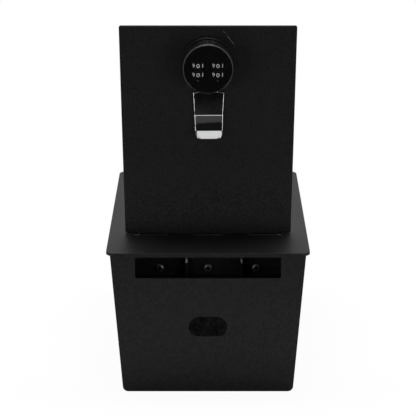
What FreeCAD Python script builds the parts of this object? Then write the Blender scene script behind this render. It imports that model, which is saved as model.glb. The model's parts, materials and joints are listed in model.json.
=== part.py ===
import FreeCAD, Part
import math
import os

# Drop-in steel strongbox, lid standing open, in millimetres.
# +X runs along the hinge, +Y from the hinge side to the lock side, +Z up.
# The origin is on the floor under the middle of the top frame.

Vector = FreeCAD.Vector
X_AXIS = Vector(1, 0, 0)
Y_AXIS = Vector(0, 1, 0)
Z_AXIS = Vector(0, 0, 1)

# Tub and top frame
frame_front_width = 180.0
frame_rear_width = 186.0
frame_depth = 270.0
frame_thickness = 2.5
frame_corner_radius = 4.5
frame_edge_radius = 0.6
frame_overhang = 3.5
box_height = 133.0
wall_thickness = 2.5
side_draft = 4.28
floor_bend_radius = 5.0
hinge_ledge_depth = 52.6
opening_corner_radius = 3.0

# Lid
lid_rear_margin = 7.1
lid_side_margin = 15.0
lid_overlap = 7.6
lid_thickness = 3.0
lid_corner_radius = 1.6
lid_edge_radius = 0.5
lid_gap = 0.3
lid_open_angle = 93.0
lid_stop_gap = 0.15

# Front wall window and cable hole
window_inset = 5.5
window_height = 19.4
window_drop = 4.9
window_corner_radius = 1.5
cable_hole_width = 34.3
cable_hole_height = 19.9
cable_hole_drop = 70.7

# Hinge pocket
hinge_slot = 7.0
pocket_depth = 40.4
pocket_side_gap = 2.0
pocket_bend_radius = 4.0
gusset_left_gap = 24.6
gusset_right_gap = 13.5
gusset_thickness = 2.0
gusset_base = 10.0
gusset_tip = 1.5
gusset_top_drop = 6.0

# Hinge
hinge_end_gap = 5.0
knuckle_count = 5
knuckle_gap = 0.4
barrel_radius = 3.5
barrel_clearance = 0.4
leaf_thickness = 2.0
leaf_notch_clearance = 0.5
lid_leaf_width = 26.0
hinge_pin_radius = 1.6
pin_head_radius = 2.8
pin_head_thickness = 1.2
running_clearance = 0.05

# Screws, studs and nuts
screw_radius = 2.0
screw_hole_clearance = 0.15
screw_head_radius = 3.8
screw_head_height = 2.3
screw_head_rounding = 1.7
socket_across_flats = 2.5
socket_depth = 1.2
nut_across_flats = 7.0
nut_height = 3.2
thread_end = 1.0
hinge_screw_pitch = 44.4
hinge_screw_rise = 6.4
stud_pitch = 46.0
stud_setback = 15.0

# Floor fixings and mat
mount_hole_radius = 3.5
mount_pitch_x = 90.0
mount_pitch_y = 130.0
mat_thickness = 3.0
mat_edge_gap = 3.0
mat_corner_radius = 6.0
mat_hole_radius = 10.0

# Finger pull, measured from the knob axis
pull_thickness = 1.8
pull_top_reach = 14.5
pull_crease_reach = 47.8
pull_scoop_reach = 61.8
pull_end_reach = 67.2
pull_scoop_rise = 3.6
pull_lip_rise = 5.0
pull_root_width = 28.8
pull_crease_width = 26.0
pull_lip_width = 24.4
pull_crease_radius = 4.0
pull_scoop_radius = 2.0
pull_corner_radius = 4.2
pull_edge_radius = 0.45

# Lock barrel and spindle
barrel_thread_radius = 11.0
barrel_hole_clearance = 0.2
barrel_end = 0.4
escutcheon_lip = 1.5
escutcheon_thickness = 2.5
escutcheon_chamfer = 0.8
lock_nut_wall = 2.5
lock_nut_height = 3.0
spindle_radius = 5.0
spindle_seat = 1.5
spindle_square = 7.0

# Knob and number wheels
knob_wall = 4.0
knob_gap = 0.2
knob_height = 18.5
knob_foot = 0.9
rib_count = 72
rib_depth = 0.9
rib_land = 0.45
rib_flank = 0.1
rim_height = 2.4
rim_width = 1.6
rim_chamfer = 0.8
face_thickness = 1.5
face_recess = 0.2
face_clearance = 0.05
wheel_radius = 6.8
wheel_width = 6.6
wheel_digits = 10
wheel_notch_depth = 0.35
wheel_notch_width = 0.9
wheel_proud = 0.6
wheel_column_wall = 2.8
wheel_row_wall = 1.1
wheel_row_shift = -1.0
wheel_pocket_clearance = 0.4
wheel_side_clearance = 0.2
wheel_window_inset = 1.0
wheel_window_radius = 0.6
axle_radius = 1.5
axle_end = 1.6
spring_thickness = 0.4
spring_width = 2.4
spring_bow = 0.2
spring_clearance = 0.3

# Scroll cam, bolts and guides
bolt_throw = 9.0
knob_turn = 90.0
bolt_thickness = 3.0
bolt_nut_clearance = 0.6
bolt_frame_clearance = 1.2
bolt_width = 16.0
rear_bolt_width = 9.0
bolt_edge_gap = 1.7
bolt_tip_radius = 1.5
bolt_corner_radius = 1.0
tongue_width = 7.0
tongue_end = 2.5
tongue_clearance = 0.5
tongue_reach = 24.0
tongue_fillet = 2.0
follower_radius = 1.5
follower_clearance = 0.1
follower_end = 0.3
cam_thickness = 2.5
cam_clearance = 0.4
cam_rim = 2.2
cam_edge_clearance = 4.4
cam_bore_clearance = 0.05
cam_path_points = 13
cam_washer_gap = 0.7
cam_washer_thickness = 1.0
cam_screw_head_radius = 3.5
cam_screw_head_height = 2.5
cam_screw_depth = 6.0
guide_clearance = 0.1
guide_wall = 3.5
guide_bridge = 1.8
guide_length = 8.0
guide_overlap = 1.0
guide_tip_gap = 6.2
guide_corner_radius = 1.5
rear_guide_gap = 0.4
rear_guide_lead = 0.5

# Spare length by which a cut runs past the faces it opens
cut_spare = 1.0

# Two faces meet in a sharp edge when the cosine between them is below this
sharp_cosine = 0.5

# Two points closer than this are one
same_point = 1e-6

# Places in the tub that follow from the sizes above
frame_front = -frame_depth / 2
frame_rear = frame_depth / 2
frame_top = box_height
frame_under = box_height - frame_thickness
plan_slope = (frame_rear_width - frame_front_width) / 2 / frame_depth
draft_slope = math.tan(math.radians(side_draft))
wall_front = frame_front + frame_overhang
wall_rear = frame_rear - frame_overhang
inner_front = wall_front + wall_thickness
inner_rear = wall_rear - wall_thickness
opening_front = frame_front + hinge_ledge_depth
hinge_wall_front = opening_front + hinge_slot
hinge_wall_rear = hinge_wall_front + wall_thickness
opening_side_margin = lid_side_margin + lid_overlap
opening_half = frame_front_width / 2 + plan_slope * hinge_ledge_depth - opening_side_margin
pocket_half = opening_half + pocket_side_gap
pocket_floor = frame_top - pocket_depth
pocket_inner_bend = pocket_bend_radius - wall_thickness
window_half = pocket_half - window_inset
hinge_screw_height = pocket_floor + hinge_screw_rise
gusset_positions = (gusset_left_gap - hinge_screw_pitch, hinge_screw_pitch - gusset_right_gap)

# Hinge axis and closed lid
lid_under = frame_top + lid_gap
lid_top = lid_under + lid_thickness
hinge_half = opening_half - hinge_end_gap
hinge_y = hinge_wall_rear + barrel_clearance + barrel_radius
hinge_z = lid_under - barrel_clearance - barrel_radius
leaf_notch = barrel_radius + leaf_notch_clearance
fixed_leaf_low = pocket_floor - wall_thickness + pocket_bend_radius
open_sine = math.sin(math.radians(lid_open_angle))
open_cosine = math.cos(math.radians(lid_open_angle))
stop_height = frame_top + lid_stop_gap - hinge_z
lid_edge_offset = (stop_height - (lid_top - hinge_z) * open_cosine) / open_sine
lid_front = hinge_y + lid_edge_offset
lid_rear = frame_rear - lid_rear_margin
opening_rear = lid_rear - lid_overlap
mount_centre_y = (hinge_y + opening_rear) / 2

# Lock heights, measured outwards from the lid's outer face
escutcheon_top = pull_thickness + escutcheon_thickness
knob_bottom = escutcheon_top + knob_gap
knob_top = knob_bottom + knob_height
face_seat = knob_top - face_recess - face_thickness
wheel_axis = knob_top + wheel_proud - wheel_radius
spring_room = spring_thickness + spring_bow + spring_clearance
wheel_pocket_floor = wheel_axis - wheel_radius - spring_room
bolt_drop = max(
    lock_nut_height + barrel_end + bolt_nut_clearance,
    lid_gap + frame_thickness + bolt_frame_clearance,
)
bolt_top = -lid_thickness - bolt_drop
bolt_bottom = bolt_top - bolt_thickness
cam_top = bolt_bottom - cam_clearance
cam_bottom = cam_top - cam_thickness

# Lock sizes across the knob axis
wheel_pocket_radius = wheel_radius + wheel_pocket_clearance
wheel_pocket_width = wheel_width + 2 * wheel_side_clearance
wheel_column_offset = wheel_pocket_radius + wheel_column_wall / 2
wheel_row_pitch = wheel_pocket_width + wheel_row_wall
wheel_window_half = wheel_radius - wheel_window_inset
wheel_column_offsets = (-wheel_column_offset, wheel_column_offset)
wheel_row_offsets = (wheel_row_shift + wheel_row_pitch / 2, wheel_row_shift - wheel_row_pitch / 2)
wheel_pack_half_length = abs(wheel_row_shift) + wheel_row_pitch / 2 + wheel_pocket_width / 2
wheel_pack_reach = math.hypot(wheel_column_offset + wheel_pocket_radius, wheel_pack_half_length)
knob_radius = wheel_pack_reach + knob_wall
escutcheon_radius = knob_radius + escutcheon_lip
lock_nut_across_flats = 2 * (barrel_thread_radius + lock_nut_wall)
tongue_start = spindle_radius + tongue_clearance
follower_start = tongue_start + tongue_end
cam_slot_half = follower_radius + follower_clearance
cam_radius = follower_start + bolt_throw + cam_slot_half + cam_rim
cam_washer_radius = follower_start - follower_radius - cam_washer_gap
lock_y = opening_rear - cam_edge_clearance - cam_radius
side_bolt_tip = opening_half + plan_slope * (lock_y - opening_front) - bolt_edge_gap
rear_bolt_tip = opening_rear - lock_y - bolt_edge_gap
guide_inner_reach = tongue_reach + bolt_throw - guide_overlap
guide_outer_reach = side_bolt_tip - guide_tip_gap - guide_length
rear_guide_reach = lock_nut_across_flats / math.sqrt(3) + rear_guide_gap
rear_guide_end = rear_bolt_tip + rear_guide_lead


def frame_half(y):
    """Half width of the top frame at the place y."""
    return frame_front_width / 2 + plan_slope * (y - frame_front)


def box(x_low, x_high, y_low, y_high, z_low, z_high):
    """Rectangular block between two corners."""
    return Part.makeBox(x_high - x_low, y_high - y_low, z_high - z_low, Vector(x_low, y_low, z_low))


def bar(radius, start, end):
    """Round bar between two points."""
    way = end.sub(start)
    return Part.makeCylinder(radius, way.Length, start, way)


def rounded_wire(points, radii):
    """Closed outline through points, each corner rounded by its own radius."""
    count = len(points)
    entries = []
    for index, corner in enumerate(points):
        back = points[index - 1].sub(corner).normalize()
        ahead = points[(index + 1) % count].sub(corner).normalize()
        radius = radii[index]
        half_angle = back.getAngle(ahead) / 2
        trim = radius / math.tan(half_angle)
        middle = corner.add(back.add(ahead).normalize().multiply(radius / math.sin(half_angle) - radius))
        first = corner.add(Vector(back).multiply(trim))
        last = corner.add(Vector(ahead).multiply(trim))
        entries.append((first, middle, last, radius))
    edges = []
    for index, (first, middle, last, radius) in enumerate(entries):
        if radius > 0:
            edges.append(Part.Arc(first, middle, last).toShape())
        following = entries[(index + 1) % count][0]
        if last.sub(following).Length > same_point:
            edges.append(Part.LineSegment(last, following).toShape())
    return Part.Wire(edges)


def prism(points, radii, way):
    """Rounded outline pushed along a vector into a solid."""
    return Part.Face(rounded_wire(points, radii)).extrude(way)


def hexagon(across_flats, centre, axis, height):
    """Six-sided bar standing on centre along axis."""
    corner = across_flats / math.sqrt(3)
    points = [Vector(corner, 0, 0)]
    for step in range(1, 6):
        angle = math.radians(60 * step)
        points.append(Vector(corner * math.cos(angle), corner * math.sin(angle), 0))
    solid = prism(points, [0] * 6, Vector(0, 0, height))
    solid.Placement = FreeCAD.Placement(centre, FreeCAD.Rotation(Z_AXIS, axis))
    return solid


def sharp_edges(shape):
    """Edges where two faces meet at a sharp corner."""
    found = []
    for edge in shape.Edges:
        middle = edge.valueAt((edge.FirstParameter + edge.LastParameter) / 2)
        normals = []
        for face in shape.ancestorsOfType(edge, Part.Face):
            across, along = face.Surface.parameter(middle)
            normals.append(face.normalAt(across, along))
        if normals[0].dot(normals[1]) < sharp_cosine:
            found.append(edge)
    return found


def plan_plate(y_low, y_high, margin, z_low, z_high, radius):
    """Plate whose sides run parallel to the frame's sides, set in by margin."""
    low = frame_half(y_low) - margin
    high = frame_half(y_high) - margin
    points = [
        Vector(-low, y_low, z_low),
        Vector(low, y_low, z_low),
        Vector(high, y_high, z_low),
        Vector(-high, y_high, z_low),
    ]
    return prism(points, [radius] * 4, Vector(0, 0, z_high - z_low))


def tub_half(y, z, inset):
    """Half width of the tub's sides at a place and height, set in by the sheet's own thickness."""
    drop = (frame_under - z) * draft_slope
    return frame_half(y) - frame_overhang - drop - inset / math.cos(math.radians(side_draft))


def tub_section(y, inset, top):
    """Corners of the trapezium across the tub, anticlockwise as seen from the hinge side."""
    top_half = tub_half(y, top, inset)
    floor_half = tub_half(y, inset, inset)
    return [
        Vector(-floor_half, y, inset),
        Vector(floor_half, y, inset),
        Vector(top_half, y, top),
        Vector(-top_half, y, top),
    ]


def tub_block(y_low, y_high, inset, top):
    """Solid tub shape between two cross sections, rounded along its two floor edges."""
    front = tub_section(y_low, inset, top)
    rear = tub_section(y_high, inset, top)
    sides = [front, rear[::-1]]
    for index in range(4):
        following = (index + 1) % 4
        sides.append([front[index], rear[index], rear[following], front[following]])
    faces = [Part.Face(Part.makePolygon(corners + corners[:1])) for corners in sides]
    block = Part.Solid(Part.Shell(faces))
    floor_edges = []
    for edge in block.Edges:
        reach = edge.BoundBox
        if reach.ZMax < inset + cut_spare and reach.YLength > reach.XLength:
            floor_edges.append(edge)
    return block.makeFillet(floor_bend_radius - inset, floor_edges)


def opened(shape):
    """Lid piece swung from its closed place to the open rest pose."""
    swung = shape.copy()
    swung.rotate(Vector(0, hinge_y, hinge_z), X_AXIS, lid_open_angle)
    return swung


def on_lock(shape):
    """Piece drawn about the knob axis, with zero height on the lid's outer face, put in the open lid."""
    placed = shape.copy()
    placed.translate(Vector(0, lock_y, lid_top))
    return opened(placed)


def mount_points():
    """Centres of the four floor fixings."""
    points = []
    for x in (-mount_pitch_x / 2, mount_pitch_x / 2):
        for y in (mount_centre_y - mount_pitch_y / 2, mount_centre_y + mount_pitch_y / 2):
            points.append((x, y))
    return points


def hinge_screw_places():
    """Positions along the hinge of its three screws."""
    return (-hinge_screw_pitch, 0.0, hinge_screw_pitch)


def stud_places():
    """Positions along the hinge of the three weld studs."""
    return (-stud_pitch, 0.0, stud_pitch)


def body_wrapper():
    """Sides and floor bent from one sheet, with four fixing holes."""
    shell = tub_block(inner_front, inner_rear, 0.0, frame_under)
    front = inner_front - cut_spare
    rear = inner_rear + cut_spare
    shell = shell.cut(tub_block(front, rear, wall_thickness, frame_under + cut_spare))
    for x, y in mount_points():
        low = Vector(x, y, -cut_spare)
        shell = shell.cut(bar(mount_hole_radius, low, Vector(x, y, wall_thickness + cut_spare)))
    return shell


def front_wall():
    """Hinge-side wall with the access window and the oval cable hole."""
    wall = tub_block(wall_front, inner_front, 0.0, frame_under)
    depth = Vector(0, wall_thickness + 2 * cut_spare, 0)
    y = wall_front - cut_spare
    window_top = frame_top - window_drop
    window_low = window_top - window_height
    window = [
        Vector(-window_half, y, window_low),
        Vector(window_half, y, window_low),
        Vector(window_half, y, window_top),
        Vector(-window_half, y, window_top),
    ]
    wall = wall.cut(prism(window, [window_corner_radius] * 4, depth))
    radius = cable_hole_height / 2
    reach = (cable_hole_width - cable_hole_height) / 2
    z = frame_top - cable_hole_drop
    top_left = Vector(-reach, y, z + radius)
    top_right = Vector(reach, y, z + radius)
    low_right = Vector(reach, y, z - radius)
    low_left = Vector(-reach, y, z - radius)
    outline = Part.Wire([
        Part.LineSegment(top_left, top_right).toShape(),
        Part.Arc(top_right, Vector(reach + radius, y, z), low_right).toShape(),
        Part.LineSegment(low_right, low_left).toShape(),
        Part.Arc(low_left, Vector(-reach - radius, y, z), top_left).toShape(),
    ])
    return wall.cut(Part.Face(outline).extrude(depth))


def rear_wall():
    """Lock-side wall."""
    return tub_block(inner_rear, wall_rear, 0.0, frame_under)


def top_frame():
    """Flat flange with the lid opening."""
    plate = plan_plate(frame_front, frame_rear, 0.0, frame_under, frame_top, frame_corner_radius)
    rim = [edge for edge in plate.Edges if edge.BoundBox.ZMin > frame_top - frame_thickness / 2]
    plate = plate.makeFillet(frame_edge_radius, rim)
    low = frame_under - cut_spare
    high = frame_top + cut_spare
    opening = plan_plate(
        opening_front, opening_rear, opening_side_margin, low, high, opening_corner_radius,
    )
    return plate.cut(opening)


def pocket_block(half, front, rear, low, high, bend):
    """Block as wide as twice half, rounded along its low rear edge."""
    points = [
        Vector(-half, front, low),
        Vector(-half, rear, low),
        Vector(-half, rear, high),
        Vector(-half, front, high),
    ]
    return prism(points, [0, bend, 0, 0], Vector(2 * half, 0, 0))


def hinge_pocket():
    """Folded tray behind the window: floor, hinge wall and two cheeks."""
    half = pocket_half + wall_thickness
    low = pocket_floor - wall_thickness
    tray = pocket_block(half, inner_front, hinge_wall_rear, low, frame_under, pocket_bend_radius)
    front = inner_front - cut_spare
    high = frame_under + cut_spare
    hollow = pocket_block(pocket_half, front, hinge_wall_front, pocket_floor, high, pocket_inner_bend)
    tray = tray.cut(hollow)
    for x in hinge_screw_places():
        start = Vector(x, hinge_wall_front - cut_spare, hinge_screw_height)
        end = Vector(x, hinge_wall_rear + cut_spare, hinge_screw_height)
        tray = tray.cut(bar(screw_radius + screw_hole_clearance, start, end))
    return tray


def pocket_gussets():
    """Two ribs that brace the hinge wall on the pocket floor."""
    high = frame_under - gusset_top_drop
    ribs = []
    for x in gusset_positions:
        left = x - gusset_thickness / 2
        points = [
            Vector(left, hinge_wall_front - pocket_inner_bend, pocket_floor),
            Vector(left, hinge_wall_front, pocket_floor + pocket_inner_bend),
            Vector(left, hinge_wall_front, high),
            Vector(left, hinge_wall_front - gusset_tip, high),
            Vector(left, hinge_wall_front - gusset_base, pocket_floor),
        ]
        ribs.append(prism(points, [0] * 5, Vector(gusset_thickness, 0, 0)))
    return Part.makeCompound(ribs)


def knuckle_spans(first):
    """Start and end of every second knuckle along the hinge."""
    pitch = 2 * hinge_half / knuckle_count
    spans = []
    for index in range(first, knuckle_count, 2):
        start = -hinge_half + index * pitch
        end = start + pitch
        if index > 0:
            start += knuckle_gap / 2
        if index < knuckle_count - 1:
            end -= knuckle_gap / 2
        spans.append((start, end))
    return spans


def knuckle(start, end):
    """Round barrel of one knuckle."""
    return bar(barrel_radius, Vector(start, hinge_y, hinge_z), Vector(end, hinge_y, hinge_z))


def pin_bore():
    """Space for the hinge pin with its running clearance."""
    reach = hinge_half + cut_spare
    radius = hinge_pin_radius + running_clearance
    return bar(radius, Vector(-reach, hinge_y, hinge_z), Vector(reach, hinge_y, hinge_z))


def hinge_fixed_leaf():
    """Leaf screwed to the back of the hinge wall."""
    rear = hinge_wall_rear + leaf_thickness
    top = hinge_z - leaf_notch
    leaf = box(-hinge_half, hinge_half, hinge_wall_rear, rear, fixed_leaf_low, top)
    for start, end in knuckle_spans(0):
        leaf = leaf.fuse(box(start, end, hinge_wall_rear, rear, top, hinge_z))
        leaf = leaf.fuse(knuckle(start, end))
    leaf = leaf.cut(pin_bore())
    for x in hinge_screw_places():
        start = Vector(x, hinge_wall_rear - cut_spare, hinge_screw_height)
        end = Vector(x, rear + cut_spare, hinge_screw_height)
        leaf = leaf.cut(bar(screw_radius + screw_hole_clearance, start, end))
    return leaf.removeSplitter()


def hinge_lid_leaf():
    """Leaf held under the lid by three studs."""
    low = lid_under - leaf_thickness
    start_y = hinge_y + leaf_notch
    leaf = box(-hinge_half, hinge_half, start_y, hinge_y + lid_leaf_width, low, lid_under)
    for start, end in knuckle_spans(1):
        leaf = leaf.fuse(box(start, end, hinge_y, start_y, low, lid_under - barrel_clearance))
        leaf = leaf.fuse(knuckle(start, end))
    leaf = leaf.cut(pin_bore())
    y = hinge_y + stud_setback
    for x in stud_places():
        start = Vector(x, y, low - cut_spare)
        end = Vector(x, y, lid_under + cut_spare)
        leaf = leaf.cut(bar(screw_radius + screw_hole_clearance, start, end))
    return opened(leaf.removeSplitter())


def hinge_pin():
    """Pin through all knuckles, headed at both ends."""
    reach = hinge_half + pin_head_thickness
    pin = bar(hinge_pin_radius, Vector(-hinge_half, hinge_y, hinge_z), Vector(hinge_half, hinge_y, hinge_z))
    for side in (-1, 1):
        inner = Vector(side * hinge_half, hinge_y, hinge_z)
        outer = Vector(side * reach, hinge_y, hinge_z)
        pin = pin.fuse(bar(pin_head_radius, inner, outer))
    return pin.removeSplitter()


def button_screw(length):
    """Button-head screw along +Y, its head's seat at the origin."""
    head = Part.makeCylinder(screw_head_radius, screw_head_height, Vector(0, 0, 0), Vector(0, -1, 0))
    rim = [edge for edge in head.Edges if edge.BoundBox.YMax < -screw_head_height / 2]
    head = head.makeFillet(screw_head_rounding, rim)
    mouth = Vector(0, -screw_head_height, 0)
    head = head.cut(hexagon(socket_across_flats, mouth, Y_AXIS, socket_depth))
    return head.fuse(bar(screw_radius, Vector(0, 0, 0), Vector(0, length, 0))).removeSplitter()


def hinge_screws():
    """Three screws with their heads in the pocket."""
    length = wall_thickness + leaf_thickness + nut_height + thread_end
    screws = []
    for x in hinge_screw_places():
        screw = button_screw(length)
        screw.translate(Vector(x, hinge_wall_front, hinge_screw_height))
        screws.append(screw)
    return Part.makeCompound(screws)


def ring_nut(across_flats, hole, centre, axis, height):
    """Hexagon nut standing on centre along axis."""
    nut = hexagon(across_flats, centre, axis, height)
    end = centre.add(Vector(axis).multiply(height))
    return nut.cut(bar(hole, centre, end))


def hinge_nuts():
    """Nuts behind the fixed leaf."""
    nuts = []
    for x in hinge_screw_places():
        centre = Vector(x, hinge_wall_rear + leaf_thickness, hinge_screw_height)
        nuts.append(ring_nut(nut_across_flats, screw_radius, centre, Y_AXIS, nut_height))
    return Part.makeCompound(nuts)


def leaf_studs():
    """Weld studs under the lid."""
    low = lid_under - leaf_thickness - nut_height - thread_end
    y = hinge_y + stud_setback
    studs = [bar(screw_radius, Vector(x, y, low), Vector(x, y, lid_under)) for x in stud_places()]
    return opened(Part.makeCompound(studs))


def leaf_nuts():
    """Nuts that hold the lid leaf on its studs."""
    y = hinge_y + stud_setback
    nuts = []
    for x in stud_places():
        centre = Vector(x, y, lid_under - leaf_thickness)
        nuts.append(ring_nut(nut_across_flats, screw_radius, centre, Vector(0, 0, -1), nut_height))
    return opened(Part.makeCompound(nuts))


def floor_mat():
    """Loose mat on the floor, punched over the fixing holes."""
    low = wall_thickness
    high = wall_thickness + mat_thickness
    front = inner_front + mat_edge_gap
    rear = inner_rear - mat_edge_gap
    margin = frame_half(front) - tub_half(front, low, wall_thickness) + mat_edge_gap
    mat = plan_plate(front, rear, margin, low, high, mat_corner_radius)
    for x, y in mount_points():
        mat = mat.cut(bar(mat_hole_radius, Vector(x, y, 0), Vector(x, y, high + low)))
    return mat


def lid_plate():
    """Flat lid with the lock hole and softened outer edges."""
    plate = plan_plate(lid_front, lid_rear, lid_side_margin, lid_under, lid_top, lid_corner_radius)
    rim = [edge for edge in plate.Edges if edge.BoundBox.ZMin > lid_under + lid_thickness / 2]
    plate = plate.makeFillet(lid_edge_radius, rim)
    radius = barrel_thread_radius + barrel_hole_clearance
    low = Vector(0, lock_y, lid_under - cut_spare)
    return opened(plate.cut(bar(radius, low, Vector(0, lock_y, lid_top + cut_spare))))


def offset_path(path, distance):
    """Open path in the plane of X zero, moved to one side by distance."""
    normals = []
    for start, end in zip(path, path[1:]):
        way = end.sub(start).normalize()
        normals.append(Vector(0, -way.z, way.y))
    moved = [path[0].add(Vector(normals[0]).multiply(distance))]
    for corner, before, after in zip(path[1:], normals, normals[1:]):
        middle = before.add(after).normalize()
        moved.append(corner.add(middle.multiply(distance / middle.dot(before))))
    moved.append(path[-1].add(Vector(normals[-1]).multiply(distance)))
    return moved


def pull_tab():
    """Finger pull: a strap under the escutcheon, creased and scooped out to a lip."""
    back = [
        Vector(0, pull_top_reach, 0),
        Vector(0, -pull_crease_reach, 0),
        Vector(0, -pull_scoop_reach, pull_scoop_rise),
        Vector(0, -pull_end_reach, pull_scoop_rise + pull_lip_rise),
    ]
    front = offset_path(back, -pull_thickness)
    points = back + front[::-1]
    radii = [0, pull_crease_radius + pull_thickness, pull_scoop_radius + pull_thickness, 0]
    radii += [0, pull_scoop_radius, pull_crease_radius, 0]
    half = pull_root_width / 2
    strap = prism(points, radii, Vector(pull_root_width, 0, 0))
    strap.translate(Vector(-half, 0, 0))
    low = -pull_thickness
    end = min(back[-1].y, front[-1].y)
    outline = [
        Vector(-half, pull_top_reach, low),
        Vector(-half, -knob_radius, low),
        Vector(-pull_crease_width / 2, -pull_crease_reach, low),
        Vector(-pull_lip_width / 2, end, low),
        Vector(pull_lip_width / 2, end, low),
        Vector(pull_crease_width / 2, -pull_crease_reach, low),
        Vector(half, -knob_radius, low),
        Vector(half, pull_top_reach, low),
    ]
    rounding = [pull_corner_radius, 0, 0, pull_corner_radius] * 2
    height = pull_scoop_rise + pull_lip_rise + 2 * pull_thickness + cut_spare
    strap = strap.common(prism(outline, rounding, Vector(0, 0, height))).removeSplitter()
    strap = strap.makeFillet(pull_edge_radius, sharp_edges(strap))
    hole = barrel_thread_radius + barrel_hole_clearance
    return on_lock(strap.cut(bar(hole, Vector(0, 0, low), Vector(0, 0, height))))


def lock_barrel():
    """Fixed barrel of the lock with its escutcheon flange."""
    end = -lid_thickness - lock_nut_height - barrel_end
    flange = bar(escutcheon_radius, Vector(0, 0, pull_thickness), Vector(0, 0, escutcheon_top))
    rim = [edge for edge in flange.Edges if edge.BoundBox.ZMin > escutcheon_top - escutcheon_chamfer]
    flange = flange.makeChamfer(escutcheon_chamfer, rim)
    barrel = flange.fuse(bar(barrel_thread_radius, Vector(0, 0, end), Vector(0, 0, pull_thickness)))
    low = Vector(0, 0, end - cut_spare)
    bore = bar(spindle_radius + running_clearance, low, Vector(0, 0, escutcheon_top + cut_spare))
    return on_lock(barrel.cut(bore).removeSplitter())


def lock_nut():
    """Large nut that clamps the barrel from inside."""
    centre = Vector(0, 0, -lid_thickness)
    nut = ring_nut(lock_nut_across_flats, barrel_thread_radius, centre, Vector(0, 0, -1), lock_nut_height)
    return on_lock(nut)


def wheel_places():
    """Centres of the four number wheels, row by row."""
    return [(column, row) for row in wheel_row_offsets for column in wheel_column_offsets]


def ribbed_prism(radius, depth, count, low, high):
    """Upright prism with straight grip ribs all round."""
    low_radius = radius - depth
    profile = (
        (0.0, radius),
        (rib_land, radius),
        (rib_land + rib_flank, low_radius),
        (1.0 - rib_flank, low_radius),
    )
    points = []
    for step in range(count):
        for part, distance in profile:
            angle = 2 * math.pi * (step + part) / count
            points.append(Vector(distance * math.cos(angle), distance * math.sin(angle), low))
    return Part.Face(Part.makePolygon(points + points[:1])).extrude(Vector(0, 0, high - low))


def knob_body():
    """Turning knob: ribbed grip, rim, face recess and wheel pockets."""
    rim_low = knob_top - rim_height
    foot_top = knob_bottom + knob_foot
    knob = bar(knob_radius - rib_depth, Vector(0, 0, knob_bottom), Vector(0, 0, foot_top))
    knob = knob.fuse(ribbed_prism(knob_radius, rib_depth, rib_count, foot_top, rim_low))
    rim = bar(knob_radius, Vector(0, 0, rim_low), Vector(0, 0, knob_top))
    edges = [edge for edge in rim.Edges if edge.BoundBox.ZMin > knob_top - rim_chamfer]
    knob = knob.fuse(rim.makeChamfer(rim_chamfer, edges))
    recess = bar(knob_radius - rim_width, Vector(0, 0, face_seat), Vector(0, 0, knob_top + cut_spare))
    knob = knob.cut(recess)
    half_width = wheel_pocket_width / 2
    for x, y in wheel_places():
        pocket = box(
            x - wheel_pocket_radius, x + wheel_pocket_radius, y - half_width, y + half_width,
            wheel_pocket_floor, knob_top,
        )
        knob = knob.cut(pocket)
    for x in wheel_column_offsets:
        knob = knob.cut(wheel_axle(x))
    low = Vector(0, 0, knob_bottom - cut_spare)
    knob = knob.cut(bar(spindle_radius, low, Vector(0, 0, knob_bottom + spindle_seat)))
    return on_lock(knob.removeSplitter())


def wheel_axle(x):
    """Axle of one column of wheels."""
    reach = wheel_row_pitch / 2 + wheel_pocket_width / 2 + axle_end
    low = Vector(x, wheel_row_shift - reach, wheel_axis)
    return bar(axle_radius, low, Vector(x, wheel_row_shift + reach, wheel_axis))


def wheel_axles():
    """Both wheel axles."""
    return on_lock(Part.makeCompound([wheel_axle(x) for x in wheel_column_offsets]))


def knob_face():
    """Disc that closes the knob, with a window over each wheel."""
    top = face_seat + face_thickness
    disc = bar(knob_radius - rim_width - face_clearance, Vector(0, 0, face_seat), Vector(0, 0, top))
    half = wheel_window_half
    depth = wheel_pocket_width / 2
    low = face_seat - cut_spare
    way = Vector(0, 0, face_thickness + 2 * cut_spare)
    for x, y in wheel_places():
        outline = [
            Vector(x - half, y - depth, low),
            Vector(x + half, y - depth, low),
            Vector(x + half, y + depth, low),
            Vector(x - half, y + depth, low),
        ]
        disc = disc.cut(prism(outline, [wheel_window_radius] * 4, way))
    return on_lock(disc)


def wheel_springs():
    """Bowed detent strip under each wheel."""
    strips = []
    span = wheel_pocket_radius
    low = wheel_pocket_floor
    for x, y in wheel_places():
        lower = [Vector(-span, 0, low), Vector(0, 0, low + spring_bow), Vector(span, 0, low)]
        upper = [point.add(Vector(0, 0, spring_thickness)) for point in lower]
        outline = Part.Wire([
            Part.Arc(lower[0], lower[1], lower[2]).toShape(),
            Part.LineSegment(lower[2], upper[2]).toShape(),
            Part.Arc(upper[2], upper[1], upper[0]).toShape(),
            Part.LineSegment(upper[0], lower[0]).toShape(),
        ])
        strip = Part.Face(outline).extrude(Vector(0, spring_width, 0))
        strip.translate(Vector(x, y - spring_width / 2, 0))
        strips.append(strip)
    return on_lock(Part.makeCompound(strips))


def number_wheel(x, y):
    """Wheel with a notch between each pair of digits."""
    half = wheel_width / 2
    start = Vector(x, y - half, wheel_axis)
    end = Vector(x, y + half, wheel_axis)
    wheel = bar(wheel_radius, start, end)
    notch_half = wheel_notch_width / 2
    notch_floor = wheel_radius - wheel_notch_depth
    for step in range(wheel_digits):
        notch = box(-notch_half, notch_half, -half, half, notch_floor, wheel_radius + cut_spare)
        notch.rotate(Vector(0, 0, 0), Y_AXIS, 360.0 * (step + 0.5) / wheel_digits)
        notch.translate(Vector(x, y, wheel_axis))
        wheel = wheel.cut(notch)
    return on_lock(wheel.cut(bar(axle_radius + running_clearance, start, end)))


def square_bar(side, low, high):
    """Upright square bar on the knob axis."""
    half = side / 2
    return box(-half, half, -half, half, low, high)


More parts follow.
